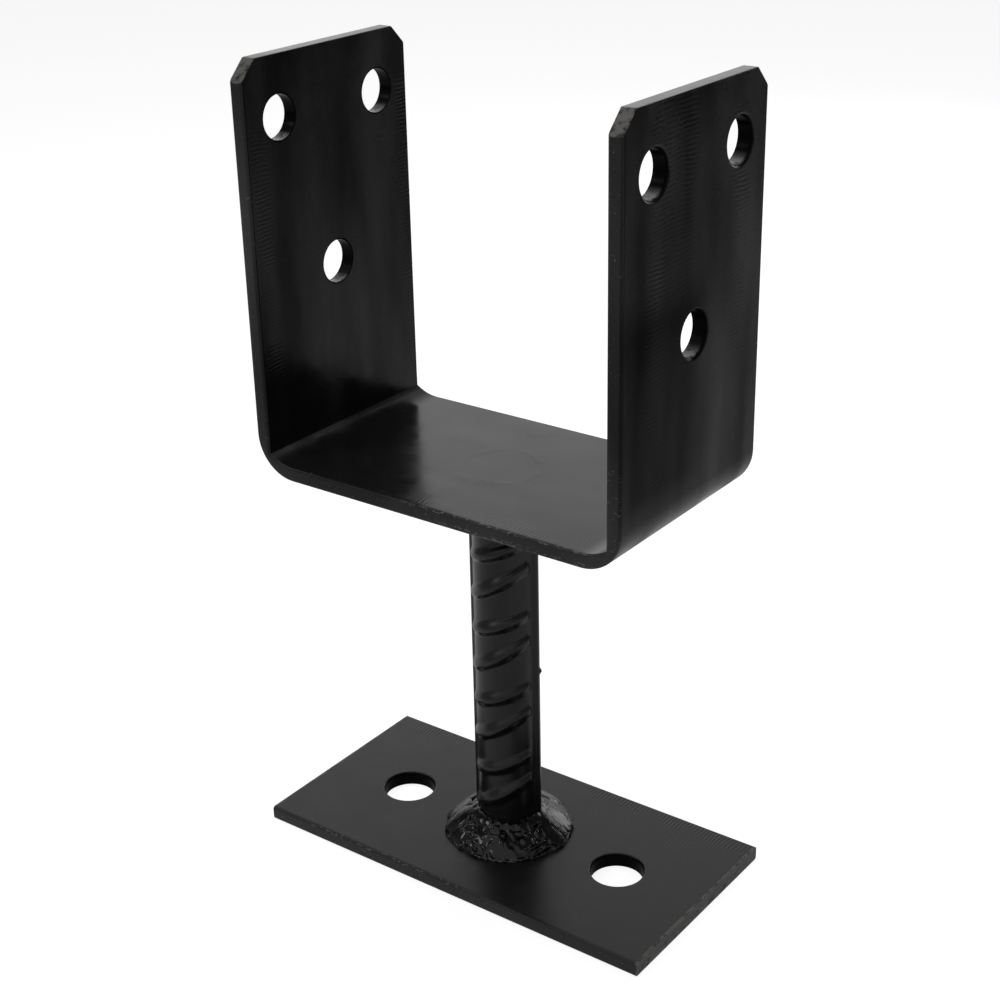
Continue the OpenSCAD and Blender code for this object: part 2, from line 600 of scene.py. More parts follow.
@dataclass(frozen=True)
class BlackEnamel:
    """Black alkyd enamel, sprayed in one coat over steel as it left the rolling mill.

    It gives the eye a deep black that is semi-gloss: reflections are soft at the edge, and every
    unevenness of the steel under the thin coat shows in them.
    """

    name: str
    colour: str = "#0c0c0d"
    dusty_colour: str = "#1b1b1c"
    # Bare steel's colour, which also paints highlights and the lightened tops as painted light.
    bare_metal_and_painted_light_colour: str = "#918e89"
    roughness: float = 0.22
    roughness_spread: float = 0.05
    ior: float = 1.42
    cloud_mm: float = 9.0
    cloud_levels: tuple[float, float] = (0.35, 0.65)
    # Peel is 0.5 to 3 mm across on a thin sprayed coat, and this is its finer end.
    peel_mm: float = 0.9
    peel_depth: float = 0.002

    def material(self) -> bpy.types.Material:
        """Builds the node tree of the finish.

        Returns:
            The material.
        """
        material = bpy.data.materials.new(self.name)
        tree = empty_tree(material)
        metres = add_node(tree, "ShaderNodeTexCoord").outputs["Object"]
        place = add_node(
            tree, "ShaderNodeVectorMath", {0: metres, "Scale": 1 / MM}, operation="SCALE"
        ).outputs[0]
        clouds = {"Vector": place, "Scale": 1 / self.cloud_mm, "Detail": 4.0, "Roughness": 0.6}
        cloud = add_node(tree, "ShaderNodeTexNoise", clouds).outputs["Fac"]
        colour = hex_linear(self.colour)
        for share, over in (
            (self.dust(tree, place, cloud), self.dusty_colour),
            # The bare-metal colour also lays painted highlights and painted lighter tops where a finish asks
            # for them.
            (self.bare_and_painted_light(tree, place), self.bare_metal_and_painted_light_colour),
        ):
            layers = {0: share, 6: colour, 7: hex_linear(over)}
            colour = add_node(tree, "ShaderNodeMix", layers, data_type="RGBA").outputs[2]
        roughness = add_node(
            tree,
            "ShaderNodeMapRange",
            {
                "Value": cloud,
                "From Min": self.cloud_levels[0],
                "From Max": self.cloud_levels[1],
                "To Min": self.roughness - self.roughness_spread,
                "To Max": self.roughness + self.roughness_spread,
            },
        ).outputs[0]
        bump = {"Height": self.relief(tree, place), "Distance": MM, "Strength": 1.0}
        shader = add_node(
            tree,
            "ShaderNodeBsdfPrincipled",
            {
                "Base Color": colour,
                "Roughness": total(tree, roughness, self.dullness(tree, place)),
                "IOR": self.ior,
                "Specular IOR Level": self.gloss(tree, place),
                "Normal": add_node(tree, "ShaderNodeBump", bump).outputs[0],
            },
        )
        add_node(tree, "ShaderNodeOutputMaterial", {"Surface": shader.outputs[0]})
        return material

    def relief(self, tree: Tree, place: Socket) -> Socket:
        """Adds the fine peel of the sprayed coat.

        Args:
            tree: The material's node tree.
            place: The object coordinates in millimetres.

        Returns:
            The height in millimetres.
        """
        peel = {"Vector": place, "Scale": 1 / self.peel_mm, "Detail": 2.0}
        return product(tree, add_node(tree, "ShaderNodeTexNoise", peel).outputs["Fac"], self.peel_depth)

    def dust(self, tree: Tree, place: Socket, cloud: Socket) -> Socket:
        """Gives the share of dusty coat; a plain coat is dusty in clouds."""
        return cloud

    def bare_and_painted_light(self, tree: Tree, place: Socket) -> Socket | float:
        """Gives the share of bare metal and painted light; a plain coat has none."""
        return 0.0

    def dullness(self, tree: Tree, place: Socket) -> Socket | float:
        """Gives what is added to the roughness; a plain coat has nothing added."""
        return 0.0

    def gloss(self, tree: Tree, place: Socket) -> Socket | float:
        """Gives how much the coat reflects; a plain coat is full all over."""
        return FULL_COAT


@dataclass(frozen=True)
class WeldEnamel(BlackEnamel):
    """The black enamel where it ran over the weld and pooled, glossy as fresh tar.

    It gives the eye sharp bright highlights on every lump, and fine lines across the side of the bead
    that was laid steadily. The pitch of the lines and the side that they are on are in degrees round
    the bar.
    """

    line_pitch: float = 2.6
    line_depth: float = 0.006
    line_side: Window = Window(22.0, 30.0, 12.0)
    line_wander: float = 9.0
    wander_per_mm: float = 0.2
    toe: Window = Window(4.0, 0.55, 0.4)
    # Painted highlights: bright flecks at 1.2 mm that stand in for glints along the toe and on the lumps.
    toe_painted_glints: Flecks = Flecks(1.2, 0.5, 0.58, 0.9)
    lump_painted_glints: Flecks = Flecks(1.2, 0.64, 0.7, 0.5)
    crust_mm: float = 1.8
    crust_depth: float = 0.05

    def relief(self, tree: Tree, place: Socket) -> Socket:
        """Adds the fine lines across the steady side and the crust of the rest.

        Args:
            tree: The material's node tree.
            place: The object coordinates in millimetres.

        Returns:
            The height in millimetres.
        """
        x, y, _ = add_node(tree, "ShaderNodeSeparateXYZ", {0: place}).outputs
        turn = add_node(tree, "ShaderNodeMath", {0: y, 1: x}, operation="ARCTAN2").outputs[0]
        azimuth = product(tree, turn, math.degrees(1.0))
        steady = self.line_side.mask(tree, azimuth)
        slow = {"Vector": place, "Scale": self.wander_per_mm, "Detail": 1.0}
        wander = product(tree, add_node(tree, "ShaderNodeTexNoise", slow).outputs["Fac"], self.line_wander)
        phase = total(tree, product(tree, azimuth, math.tau / self.line_pitch), wander)
        line = add_node(tree, "ShaderNodeMath", {0: phase}, operation="SINE").outputs[0]
        lumpy = {"Vector": place, "Scale": 1 / self.crust_mm, "Detail": 0.5}
        crust = add_node(tree, "ShaderNodeTexNoise", lumpy).outputs["Fac"]
        return total(
            tree,
            super().relief(tree, place),
            product(tree, line, steady, self.line_depth),
            product(tree, crust, less(tree, steady), self.crust_depth),
        )

    def bare_and_painted_light(self, tree: Tree, place: Socket) -> Socket:
        """Gives painted highlights: bright flecks that stand in for glints, many along the toe and a few on
        the lumps.

        Args:
            tree: The material's node tree.
            place: The object coordinates in millimetres.

        Returns:
            The share of the painted highlight.
        """
        toe = self.toe.mask(tree, add_node(tree, "ShaderNodeSeparateXYZ", {0: place}).outputs[2])
        along_toe = product(tree, toe, self.toe_painted_glints.mask(tree, place), self.toe_painted_glints.share)
        on_lumps = product(tree, self.lump_painted_glints.mask(tree, place), self.lump_painted_glints.share)
        return add_node(tree, "ShaderNodeClamp", {0: total(tree, along_toe, on_lumps)}).outputs[0]


@dataclass(frozen=True)
class ChipPatch:
    """A stretch of the bar's front edge that was knocked, where the coat is chipped."""

    across: Window
    height: Window
    low: float = 0.6


@dataclass(frozen=True)
class MattPatch:
    """A patch of the right flange's outer face where the coat soaked in and set matt."""

    across: Window
    height: Window
    share: float


@dataclass(frozen=True)
class Bore:
    """The wall of a punched hole: the plane that it is round in, its middle there and its radius."""

    plane: Triple
    centre: Triple
    radius: float
    spare: float = 0.15
    fade: float = 0.5

    def mask(self, tree: Tree, place: Socket) -> Socket:
        """Gives a mask that is 1 on the wall.

        Args:
            tree: The material's node tree.
            place: The object coordinates in millimetres.

        Returns:
            The mask.
        """
        flat = add_node(tree, "ShaderNodeVectorMath", {0: place, 1: self.plane}, operation="MULTIPLY")
        away = add_node(
            tree, "ShaderNodeVectorMath", {0: flat.outputs[0], 1: self.centre}, operation="DISTANCE"
        ).outputs["Value"]
        return Window(0.0, self.radius + self.spare, self.fade).mask(tree, away)


@dataclass(frozen=True)
class RippleBand:
    """A band of fine cross ripples that the rolls left on one face of the flat bar.

    The axis and level name the face's plane, across is the place over the bar's width, and along the
    place on its run, which is measured as the distance out from the middle plus the height.
    """

    axis: int
    level: float
    across: Window
    along: Window
    depth: float


@dataclass(frozen=True)
class BarSpot:
    """Where a point lies on the flat bar, in sockets that hold millimetres.

    Out is how far it is from the middle along X, side how far from the bar's middle line, and run the
    way along the bar: out plus the height.
    """

    x: Socket
    y: Socket
    z: Socket
    out: Socket
    side: Socket
    run: Socket


@dataclass(frozen=True)
class FlatBarEnamel(BlackEnamel):
    """The black enamel where it lies on hot-rolled flat bar.

    The rolled steel gives it long faint streaks along the bar and bands of fine cross ripples, and the
    sheared or cropped ends and the long edges, where the coat is thinnest, are duller and chipped.
    Where it lay level while it dried it is calm, and faces that look up are painted a little lighter,
    which is painted light. The rims of the plate's sheared ends carry flecks that are partly chips and
    partly painted highlight, and the bottoms of the holes carry painted highlights. Depths are in
    millimetres, and the two numbers of a face are the heights of its normal at which it starts to count
    as turned up and at which it counts in full.
    """

    # The rolls' ripples are about 1 mm apart, and so are these.
    ripple_mm: float = 1.05
    ripple_waver: float = 1.6
    ripple_strength: float = 1.4
    ripple_patches: Flecks = Flecks(6.0, 0.36, 0.52)
    waver_per_mm: float = 0.12
    bands: tuple[RippleBand, ...] = ()
    streak_mm: float = 13.0
    streak_length_mm: float = 60.0
    streak_levels: tuple[float, float] = (0.32, 0.68)
    streak_depth: float = 0.09
    gloss_spread: float = 0.17
    dull_streak_mm: float = 9.0
    dull_streak_levels: tuple[float, float] = (0.4, 0.7)
    streak_dullness: float = 0.16
    cut_dullness: float = 0.2
    edge_dullness: float = 0.12
    sag_mm: float = 26.0
    sag_depth: float = 0.1
    # Pits in mill scale are about 0.1 mm across, too fine to show, so they are drawn at 0.5 mm.
    pits: Flecks = Flecks(0.5, 0.62, 0.75)
    pit_depth: float = 0.006
    # The grain of a torn face is drawn at 0.7 mm as well, as its own is finer than shows.
    torn_grain_per_mm: float = 1.4
    torn_depth: float = 0.12
    edge_grain: float = 0.5
    dust_streak_mm: float = 4.0
    cloud_dust: float = 0.5
    streak_dust: float = 0.4
    edge_dust: float = 0.7
    front: Window = Window(-30.0, 0.25, 0.6)
    chips: tuple[ChipPatch, ...] = ()
    chip_mm: float = 0.8
    chip_fade: float = 0.08
    chip_stretch: Triple = (0.65, 1.0, 1.9)
    stray_chips: Flecks = Flecks(0.8, 0.68, 0.74)
    scuffs: Flecks = Flecks(1.6, 0.34, 0.56, 0.95)
    # Rim flecks of the sheared ends: partly chips, partly painted highlight.
    rim_chips_and_painted_highlights: Flecks = Flecks(2.4, 0.36, 0.6, 0.6)
    # Painted highlight: bright flecks at the bottoms of the holes' walls.
    bore_painted_highlights: Flecks = Flecks(1.5, 0.4, 0.5, 0.9)
    rubbed: float = 0.035
    half_width: float = 30.0
    # Painted light: how much lighter the faces that look up are painted, in the bare-metal colour.
    up_face_painted_light: float = 0.038
    level_face: tuple[float, float] = (0.85, 0.99)
    levelling: float = 0.75
    matt: tuple[MattPatch, ...] = ()
    outer_face: Window = Window(54.5, 0.5, 0.3)
    bores: tuple[Bore, ...] = ()
    bore_loss: float = 0.93
    wet_face: tuple[float, float] = (0.6, 0.9)
    bore_highlight_face: tuple[float, float] = (0.8, 0.93)
    crop_sum: float = 236.0
    sheared_end: Window = Window(60.0, 0.15, 0.15)
    sheared_bare: float = 0.18
    torn: Window = Window(0.0, 2.5, 0.3)
    ragged_per_mm: float = 0.5
    raggedness: float = 1.2
    rim_end: Window = Window(60.0, 0.5, 0.3)
    rims: tuple[Window, ...] = (Window(0.0, 0.4, 0.3), Window(4.0, 0.4, 0.3))
    ring_level: Window = Window(111.0, 0.2, 0.2)
    ring: Window = Window(13.1, 0.2, 1.4)
    ring_patches: Flecks = Flecks(8.0, 0.35, 0.6)
    ring_waver: float = 5.0
    ring_waver_per_mm: float = 0.11
    ring_depth: float = 0.03

    def spot(self, tree: Tree, place: Socket) -> BarSpot:
        """Finds where a point lies on the bar.

        Args:
            tree: The material's node tree.
            place: The object coordinates in millimetres.

        Returns:
            The parts of its place.
        """
        x, y, z = add_node(tree, "ShaderNodeSeparateXYZ", {0: place}).outputs
        out, side = (
            add_node(tree, "ShaderNodeMath", {0: value}, operation="ABSOLUTE").outputs[0] for value in (x, y)
        )
        return BarSpot(x, y, z, out, side, total(tree, out, z))

    def relief(self, tree: Tree, place: Socket) -> Socket:
        """Adds peel, streaks, sags, pits, ripple bands and the mark of the weld under the floor.

        Args:
            tree: The material's node tree.
            place: The object coordinates in millimetres.

        Returns:
            The height in millimetres.
        """
        streak = self.streaks(tree, place, self.streak_mm, 1.5)
        wide = {"Vector": place, "Scale": 1 / self.sag_mm, "Detail": 0.0}
        sag = add_node(tree, "ShaderNodeTexNoise", wide).outputs["Fac"]
        calm = self.calm(tree)
        rough = total(tree, self.cut(tree, place), product(tree, self.edge(tree, place), self.edge_grain))
        fine = {"Vector": place, "Scale": self.torn_grain_per_mm, "Detail": 4.0}
        grain = add_node(tree, "ShaderNodeTexNoise", fine).outputs["Fac"]
        return total(
            tree,
            super().relief(tree, place),
            product(tree, streak, self.streak_depth, calm),
            product(tree, sag, self.sag_depth, calm),
            product(tree, self.pits.mask(tree, place), -self.pit_depth),
            product(tree, grain, rough, self.torn_depth),
            self.ripples(tree, place),
            self.weld_ring(tree, place),
        )

    def streaks(self, tree: Tree, place: Socket, width: float, detail: float) -> Socket:
        """Adds noise that is drawn out along the bar.

        Args:
            tree: The material's node tree.
            place: The object coordinates in millimetres.
            width: The width of a streak in millimetres.
            detail: How many finer layers the noise has.

        Returns:
            The noise level.
        """
        spot = self.spot(tree, place)
        spans = {0: (spot.x, self.streak_length_mm), 1: (spot.y, width), 2: (spot.run, self.streak_length_mm)}
        scaled = {axis: product(tree, value, 1 / span) for axis, (value, span) in spans.items()}
        along = add_node(tree, "ShaderNodeCombineXYZ", scaled).outputs[0]
        drawn_out = {"Vector": along, "Scale": 1.0, "Detail": detail}
        return add_node(tree, "ShaderNodeTexNoise", drawn_out).outputs["Fac"]

    def edge(self, tree: Tree, place: Socket) -> Socket:
        """Gives a mask that is 1 on the narrow long faces of the bar."""
        return Window(self.half_width, 0.2, 0.5).mask(tree, self.spot(tree, place).side)

    def dust(self, tree: Tree, place: Socket, cloud: Socket) -> Socket:
        """Gives the share of dusty coat: clouds, streaks along the bar, and the rough ends and edges.

        Args:
            tree: The material's node tree.
            place: The object coordinates in millimetres.
            cloud: The clouds' noise level.

        Returns:
            The share.
        """
        streak = self.streaks(tree, place, self.dust_streak_mm, 3.0)
        worn = total(tree, self.cut(tree, place), product(tree, self.edge(tree, place), self.edge_dust))
        share = total(
            tree, product(tree, cloud, self.cloud_dust), product(tree, streak, self.streak_dust), worn
        )
        return add_node(tree, "ShaderNodeClamp", {0: share}).outputs[0]

    def facing_up(self, tree: Tree, start: float, full: float) -> Socket:
        """Gives a mask of the faces that look up.

        Args:
            tree: The material's node tree.
            start: The normal's height at which the mask leaves 0.
            full: The normal's height at which it reaches 1.

        Returns:
            The mask.
        """
        normal = add_node(tree, "ShaderNodeTexCoord").outputs["Normal"]
        height = add_node(tree, "ShaderNodeSeparateXYZ", {0: normal}).outputs[2]
        levels = {"Value": height, "From Min": start, "From Max": full}
        return add_node(tree, "ShaderNodeMapRange", levels).outputs[0]

    def calm(self, tree: Tree) -> Socket:
        """Gives how much of the coat's unevenness is left: all but on faces that lay level while it dried."""
        return less(tree, self.facing_up(tree, *self.level_face), self.levelling)

    def rim(self, tree: Tree, place: Socket) -> Socket:
        """Gives a mask of the rims of the plate's sheared ends: bright flecks that are partly chips and
        partly painted highlight.

        Args:
            tree: The material's node tree.
            place: The object coordinates in millimetres.

        Returns:
            The mask.
        """
        spot = self.spot(tree, place)
        rims = total(tree, *(rim.mask(tree, spot.z) for rim in self.rims))
        return product(tree, self.rim_end.mask(tree, spot.out), rims, self.rim_chips_and_painted_highlights.mask(tree, place))

    def ripples(self, tree: Tree, place: Socket) -> Socket:
        """Adds the bands of cross ripples.

        Args:
            tree: The material's node tree.
            place: The object coordinates in millimetres.

        Returns:
            The height in millimetres.
        """
        spot = self.spot(tree, place)
        slow = {"Vector": place, "Scale": self.waver_per_mm, "Detail": 1.0}
        waver = add_node(tree, "ShaderNodeTexNoise", slow).outputs["Fac"]
        phase = total(
            tree,
            product(tree, spot.run, math.tau / self.ripple_mm),
            product(tree, waver, self.ripple_waver * math.tau),
        )
        wave = add_node(tree, "ShaderNodeMath", {0: phase}, operation="SINE").outputs[0]
        shares = [
            product(
                tree,
                Window(band.level, 0.4, 0.3).mask(tree, (spot.x, spot.y, spot.z)[band.axis]),
                band.across.mask(tree, spot.y),
                band.along.mask(tree, spot.run),
                band.depth * self.ripple_strength,
            )
            for band in self.bands
        ]
        return product(tree, wave, self.ripple_patches.mask(tree, place), total(tree, 0.0, *shares))

    def weld_ring(self, tree: Tree, place: Socket) -> Socket:
        """Adds the faint ring that the heat of the weld below drew on the floor of the U.

        Args:
            tree: The material's node tree.
            place: The object coordinates in millimetres.

        Returns:
            The height in millimetres.
        """
        spot = self.spot(tree, place)
        flat = add_node(tree, "ShaderNodeCombineXYZ", {0: spot.x, 1: spot.y}).outputs[0]
        radius = add_node(tree, "ShaderNodeVectorMath", {0: flat}, operation="LENGTH").outputs["Value"]
        slow = {"Vector": place, "Scale": self.ring_waver_per_mm, "Detail": 1.0}
        waver = product(tree, add_node(tree, "ShaderNodeTexNoise", slow).outputs["Fac"], self.ring_waver)
        edge = self.ring.mask(tree, total(tree, radius, waver))
        level = self.ring_level.mask(tree, spot.z)
        return product(tree, edge, level, self.ring_depth, self.ring_patches.mask(tree, place))

    def cropped(self, tree: Tree, place: Socket) -> Socket:
        """Gives where the corners of the flanges were cropped.

        Args:
            tree: The material's node tree.
            place: The object coordinates in millimetres.

        Returns:
            A mask that is 1 on the cropped faces.
        """
        spot = self.spot(tree, place)
        # On the crops' faces the distance from the bar's middle line and the height add up to crop_sum.
        levels = {"From Min": self.crop_sum - 0.3, "From Max": self.crop_sum - 0.1}
        return add_node(
            tree, "ShaderNodeMapRange", {"Value": total(tree, spot.side, spot.z), **levels}
        ).outputs[0]

    def torn_end(self, tree: Tree, place: Socket) -> Socket:
        """Gives where the shear tore the plate's ends: below the part that its blade burnished.

        Args:
            tree: The material's node tree.
            place: The object coordinates in millimetres.

        Returns:
            A mask that is 1 on the torn part of the ends.
        """
        spot = self.spot(tree, place)
        uneven = {"Vector": place, "Scale": self.ragged_per_mm, "Detail": 2.0}
        ragged = product(tree, add_node(tree, "ShaderNodeTexNoise", uneven).outputs["Fac"], self.raggedness)
        end = self.sheared_end.mask(tree, spot.out)
        return product(tree, end, self.torn.mask(tree, total(tree, spot.z, ragged)))

    def cut(self, tree: Tree, place: Socket) -> Socket:
        """Gives a mask that is 1 on all rough cut faces."""
        return total(tree, self.cropped(tree, place), self.torn_end(tree, place))

    def bare_and_painted_light(self, tree: Tree, place: Socket) -> Socket:
        """Gives the chips and the painted light: flecks on knocked stretches of the front edge, scuffs on the
        crops, flecks on the sheared ends' rims that are partly painted highlight, painted highlights at the
        bottoms of the holes, and a painted lighter tone on faces that look up.

        Args:
            tree: The material's node tree.
            place: The object coordinates in millimetres.

        Returns:
            The share of bare metal and painted light.
        """
        spot = self.spot(tree, place)
        front = self.front.mask(tree, spot.y)
        drawn_out = add_node(
            tree, "ShaderNodeVectorMath", {0: place, 1: self.chip_stretch}, operation="MULTIPLY"
        ).outputs[0]
        chips = [
            product(
                tree,
                patch.across.mask(tree, spot.x),
                patch.height.mask(tree, spot.z),
                Flecks(self.chip_mm, patch.low, patch.low + self.chip_fade).mask(tree, drawn_out),
            )
            for patch in self.chips
        ]
        walls = total(tree, *(bore.mask(tree, place) for bore in self.bores))
        highlight_facing_up = self.facing_up(tree, *self.bore_highlight_face)
        share = total(
            tree,
            product(tree, front, total(tree, 0.0, *chips)),
            product(tree, front, self.stray_chips.mask(tree, place)),
            product(tree, self.cut(tree, place), self.scuffs.mask(tree, place), self.scuffs.share),
            product(tree, self.edge(tree, place), self.rubbed),
            # Painted light: faces that look up are lightened with the bare-metal colour.
            product(tree, self.facing_up(tree, *self.level_face), self.up_face_painted_light),
            # Rims of the sheared ends: flecks that are partly chips and partly painted highlight.
            product(tree, self.rim(tree, place), self.rim_chips_and_painted_highlights.share),
            product(tree, self.sheared_end.mask(tree, spot.out), self.sheared_bare),
            # Painted highlight: bright flecks on the up-facing bottoms of the holes' walls.
            product(tree, walls, highlight_facing_up, self.bore_painted_highlights.mask(tree, place), self.bore_painted_highlights.share),
        )
        return add_node(tree, "ShaderNodeClamp", {0: share}).outputs[0]

    def gloss(self, tree: Tree, place: Socket) -> Socket:
        """Gives how much the coat reflects.

        It is streaky, because it soaked unevenly into the mill scale, calmer where it lay level while it
        dried, and matt in patches and on the walls of the holes, which it ran out of except at the bottom.

        Args:
            tree: The material's node tree.
            place: The object coordinates in millimetres.

        Returns:
            The reflection, where 0.5 is a full coat.
        """
        spot = self.spot(tree, place)
        streak = add_node(
            tree,
            "ShaderNodeMapRange",
            {
                "Value": self.streaks(tree, place, self.streak_mm, 2.5),
                "From Min": self.streak_levels[0],
                "From Max": self.streak_levels[1],
                "To Min": -self.gloss_spread,
                "To Max": self.gloss_spread,
            },
        ).outputs[0]
        level = total(tree, FULL_COAT, product(tree, streak, self.calm(tree)))
        outer = self.outer_face.mask(tree, spot.x)
        for patch in self.matt:
            mask = product(tree, outer, patch.across.mask(tree, spot.y), patch.height.mask(tree, spot.z))
            level = product(tree, level, less(tree, mask, patch.share))
        dry = less(tree, self.facing_up(tree, *self.wet_face))
        for bore in self.bores:
            level = product(tree, level, less(tree, bore.mask(tree, place), dry, self.bore_loss))
        return level

    def dullness(self, tree: Tree, place: Socket) -> Socket:
        """Gives how much duller the streaks, the cropped faces and the long edges are.

        Args:
            tree: The material's node tree.
            place: The object coordinates in millimetres.

        Returns:
            What is added to the roughness.
        """
        streak = add_node(
            tree,
            "ShaderNodeMapRange",
            {
                "Value": self.streaks(tree, place, self.dull_streak_mm, 1.0),
                "From Min": self.dull_streak_levels[0],
                "From Max": self.dull_streak_levels[1],
            },
        ).outputs[0]
        return total(
            tree,
            product(tree, streak, self.streak_dullness, self.calm(tree)),
            product(tree, self.cut(tree, place), self.cut_dullness),
            product(tree, self.edge(tree, place), self.edge_dullness),
        )


BRACKET_BANDS = (
    RippleBand(0, -50.5, Window(-25.5, 2.0, 1.5), Window(212, 26, 12), 0.008),
    RippleBand(0, -50.5, Window(-26.0, 1.5, 1.5), Window(172, 11, 4), 0.008),
    RippleBand(0, -50.5, Window(27.5, 1.5, 1.0), Window(205, 42, 8), 0.008),
    RippleBand(0, 54.5, Window(-10.0, 7.0, 4.0), Window(242, 20, 8), 0.006),
    RippleBand(0, 54.5, Window(-17.0, 3.0, 2.5), Window(205, 22, 12), 0.006),
    RippleBand(0, 54.5, Window(18.5, 3.0, 2.5), Window(228, 26, 10), 0.006),
    RippleBand(2, 111.0, Window(-26.0, 2.0, 1.5), Window(138, 24, 8), 0.009),
)
BRACKET_CHIPS = (
    ChipPatch(Window(18, 20, 12), Window(110.75, 0.25, 0.2), 0.54),
    ChipPatch(Window(26, 18, 10), Window(108.0, 0.35, 0.25), 0.53),
    ChipPatch(Window(8, 22, 10), Window(107.3, 0.2, 0.2), 0.55),
    ChipPatch(Window(52.5, 3, 1), Window(122, 9, 6), 0.63),
)
BRACKET_MATT = (
    MattPatch(Window(-14, 10, 13), Window(143, 18, 13), 0.8),
    MattPatch(Window(-4, 14, 14), Window(174, 8, 16), 0.45),
    MattPatch(Window(22, 8, 12), Window(138, 14, 16), 0.2),
    MattPatch(Window(-27, 3, 6), Window(188, 24, 16), 0.35),
)
BRACKET_BORES = tuple(Bore((0, 1, 1), (0, y, z), 5.5) for y, z in ((18, 196), (-18, 196), (0, 156)))
PLATE_BORES = tuple(Bore((1, 1, 0), (x, 0, 0), 7.0) for x in (-35, 35))
PLATE_CHIPS = (
    ChipPatch(Window(-20, 20, 12), Window(3.7, 0.3, 0.2), 0.55),
    ChipPatch(Window(-10, 16, 12), Window(1.2, 1.2, 0.8), 0.62),
)
PLATE_BANDS = (
    RippleBand(2, 4.0, Window(27.0, 1.8, 1.2), Window(40, 23, 8), 0.015),
    RippleBand(2, 4.0, Window(20.0, 3.0, 4.0), Window(52, 8, 6), 0.004),
)


@dataclass
class UBracket:
    """The U bent from flat bar, with three bolt holes in each flange."""

    stock: BarStock = field(default_factory=BarStock)
    clear_width: float = 101.0
    under_height: float = 107.0
    clear_height: float = 100.0
    bend_radius: float = 7.0
    bend_steps: int = 18
    crease_step: int = 11
    crop: float = 5.0
    hole: PunchedHole = field(default_factory=lambda: PunchedHole(radius=5.5))
    upper_hole_height: float = 85.0
    upper_hole_gap: float = 36.0
    lower_hole_height: float = 45.0
    broken_edge: float = 0.3
    slack: float = 0.001

    def build(self) -> Piece:
        """Models the bracket: one half is run out from the middle, bent up and mirrored.

        Returns:
            The finished mesh object.
        """
        stock = self.stock
        floor_top = self.under_height + stock.thickness
        top = floor_top + self.clear_height
        outer_radius = self.bend_radius + stock.thickness
        bend_x = self.clear_width / 2 + stock.thickness - outer_radius
        piece = stock.section("bracket", (0, 0, self.under_height + stock.thickness / 2))
        with edit_mode(piece):
            bpy.ops.mesh.select_all(action="SELECT")
            extrude(x=bend_x)
            bpy.ops.mesh.spin(
                steps=self.bend_steps,
                angle=math.radians(90),
                center=(bend_x * MM, 0, (self.under_height + outer_radius) * MM),
                axis=(0, 1, 0),
            )
            extrude(z=top - self.under_height - outer_radius)
            bpy.ops.mesh.select_all(action="DESELECT")
            select_faces(piece, lambda middle, _: abs(middle.x) < self.slack)
            bpy.ops.mesh.delete(type="FACE")
        self.crease_bend(piece, Vector((bend_x, 0, self.under_height + outer_radius)))
        finish_modifier(piece, "MIRROR", use_axis=(True, False, False), merge_threshold=self.slack * MM)
        clean(piece)
        with edit_mode(piece):
            bpy.ops.mesh.select_interior_faces()
            bpy.ops.mesh.delete(type="FACE")
        self.crop_corners(piece, top)
        ends = top - self.crop - 0.01

        def at_end(a: Vector, b: Vector) -> bool:
            """Says whether an edge is at a flange's end and isn't one of its upright ones."""
            upright = abs(a.y - b.y) < self.slack and abs(a.z - b.z) > self.slack
            return min(a.z, b.z) > ends and not upright

        break_edges(piece, self.broken_edge, at_end)
        cut_holes(piece, self.hole, self.hole_places(floor_top))
        even_shading(piece)
        return piece

    def crease_bend(self, piece: Piece, centre: Vector) -> None:
        """Gives the inside of the bend the crease that the press leaves where the flange rises.

        Args:
            piece: The half of the bracket that has its bend at positive X.
            centre: The middle of the bend, in millimetres.
        """
        inner = self.bend_radius + self.stock.edge_radius + 0.01
        step = math.radians(90) / self.bend_steps
        upright = self.bend_radius / math.sin(self.crease_step * step)
        for number in range(1, self.bend_steps):
            turn = number * step
            way = Vector((math.sin(turn), 0, -math.cos(turn)))
            if number >= self.crease_step:
                reach = self.bend_radius / math.sin(turn)
            else:
                share = (number / self.crease_step) ** 2
                reach = self.bend_radius + (upright - self.bend_radius) * share

            def on_ring(place: Vector) -> bool:
                """Says whether a vertex is on this ring's inner side."""
                spoke = Vector((place.x - centre.x, 0, place.z - centre.z))
                return spoke.length < inner and spoke.dot(way) > 1 and spoke.cross(way).length < 0.05

            with edit_mode(piece, "VERT"):
                select_verts(piece, on_ring)
                bpy.ops.transform.translate(value=way * (reach - self.bend_radius) * MM)

    def crop_corners(self, piece: Piece, top: float) -> None:
        """Crops the four top corners at 45 degrees; one cut serves the corners of both flanges.

        Args:
            piece: The bracket.
            top: The height of the flanges' ends.
        """
        for end in (-1, 1):
            cut_off(piece, (0, end * self.stock.width / 2, top - self.crop), (0, end, 1))

    def hole_places(self, floor_top: float) -> list[Matrix]:
        """Gives the place of every bolt hole, with its mouth on the outer face.

        Args:
            floor_top: The height of the floor of the U.

        Returns:
            One transform for each hole, in metres.
        """
        places = []
        for side in Side:
            turn = Matrix.Rotation(math.radians(90 * side.value), 4, "Y")
            for y, height in (
                (-self.upper_hole_gap / 2, self.upper_hole_height),
                (self.upper_hole_gap / 2, self.upper_hole_height),
                (0.0, self.lower_hole_height),
            ):
                spot = Vector((side.value * self.clear_width / 2, y, floor_top + height)) * MM
                places.append(Matrix.Translation(spot) @ turn)
        return places


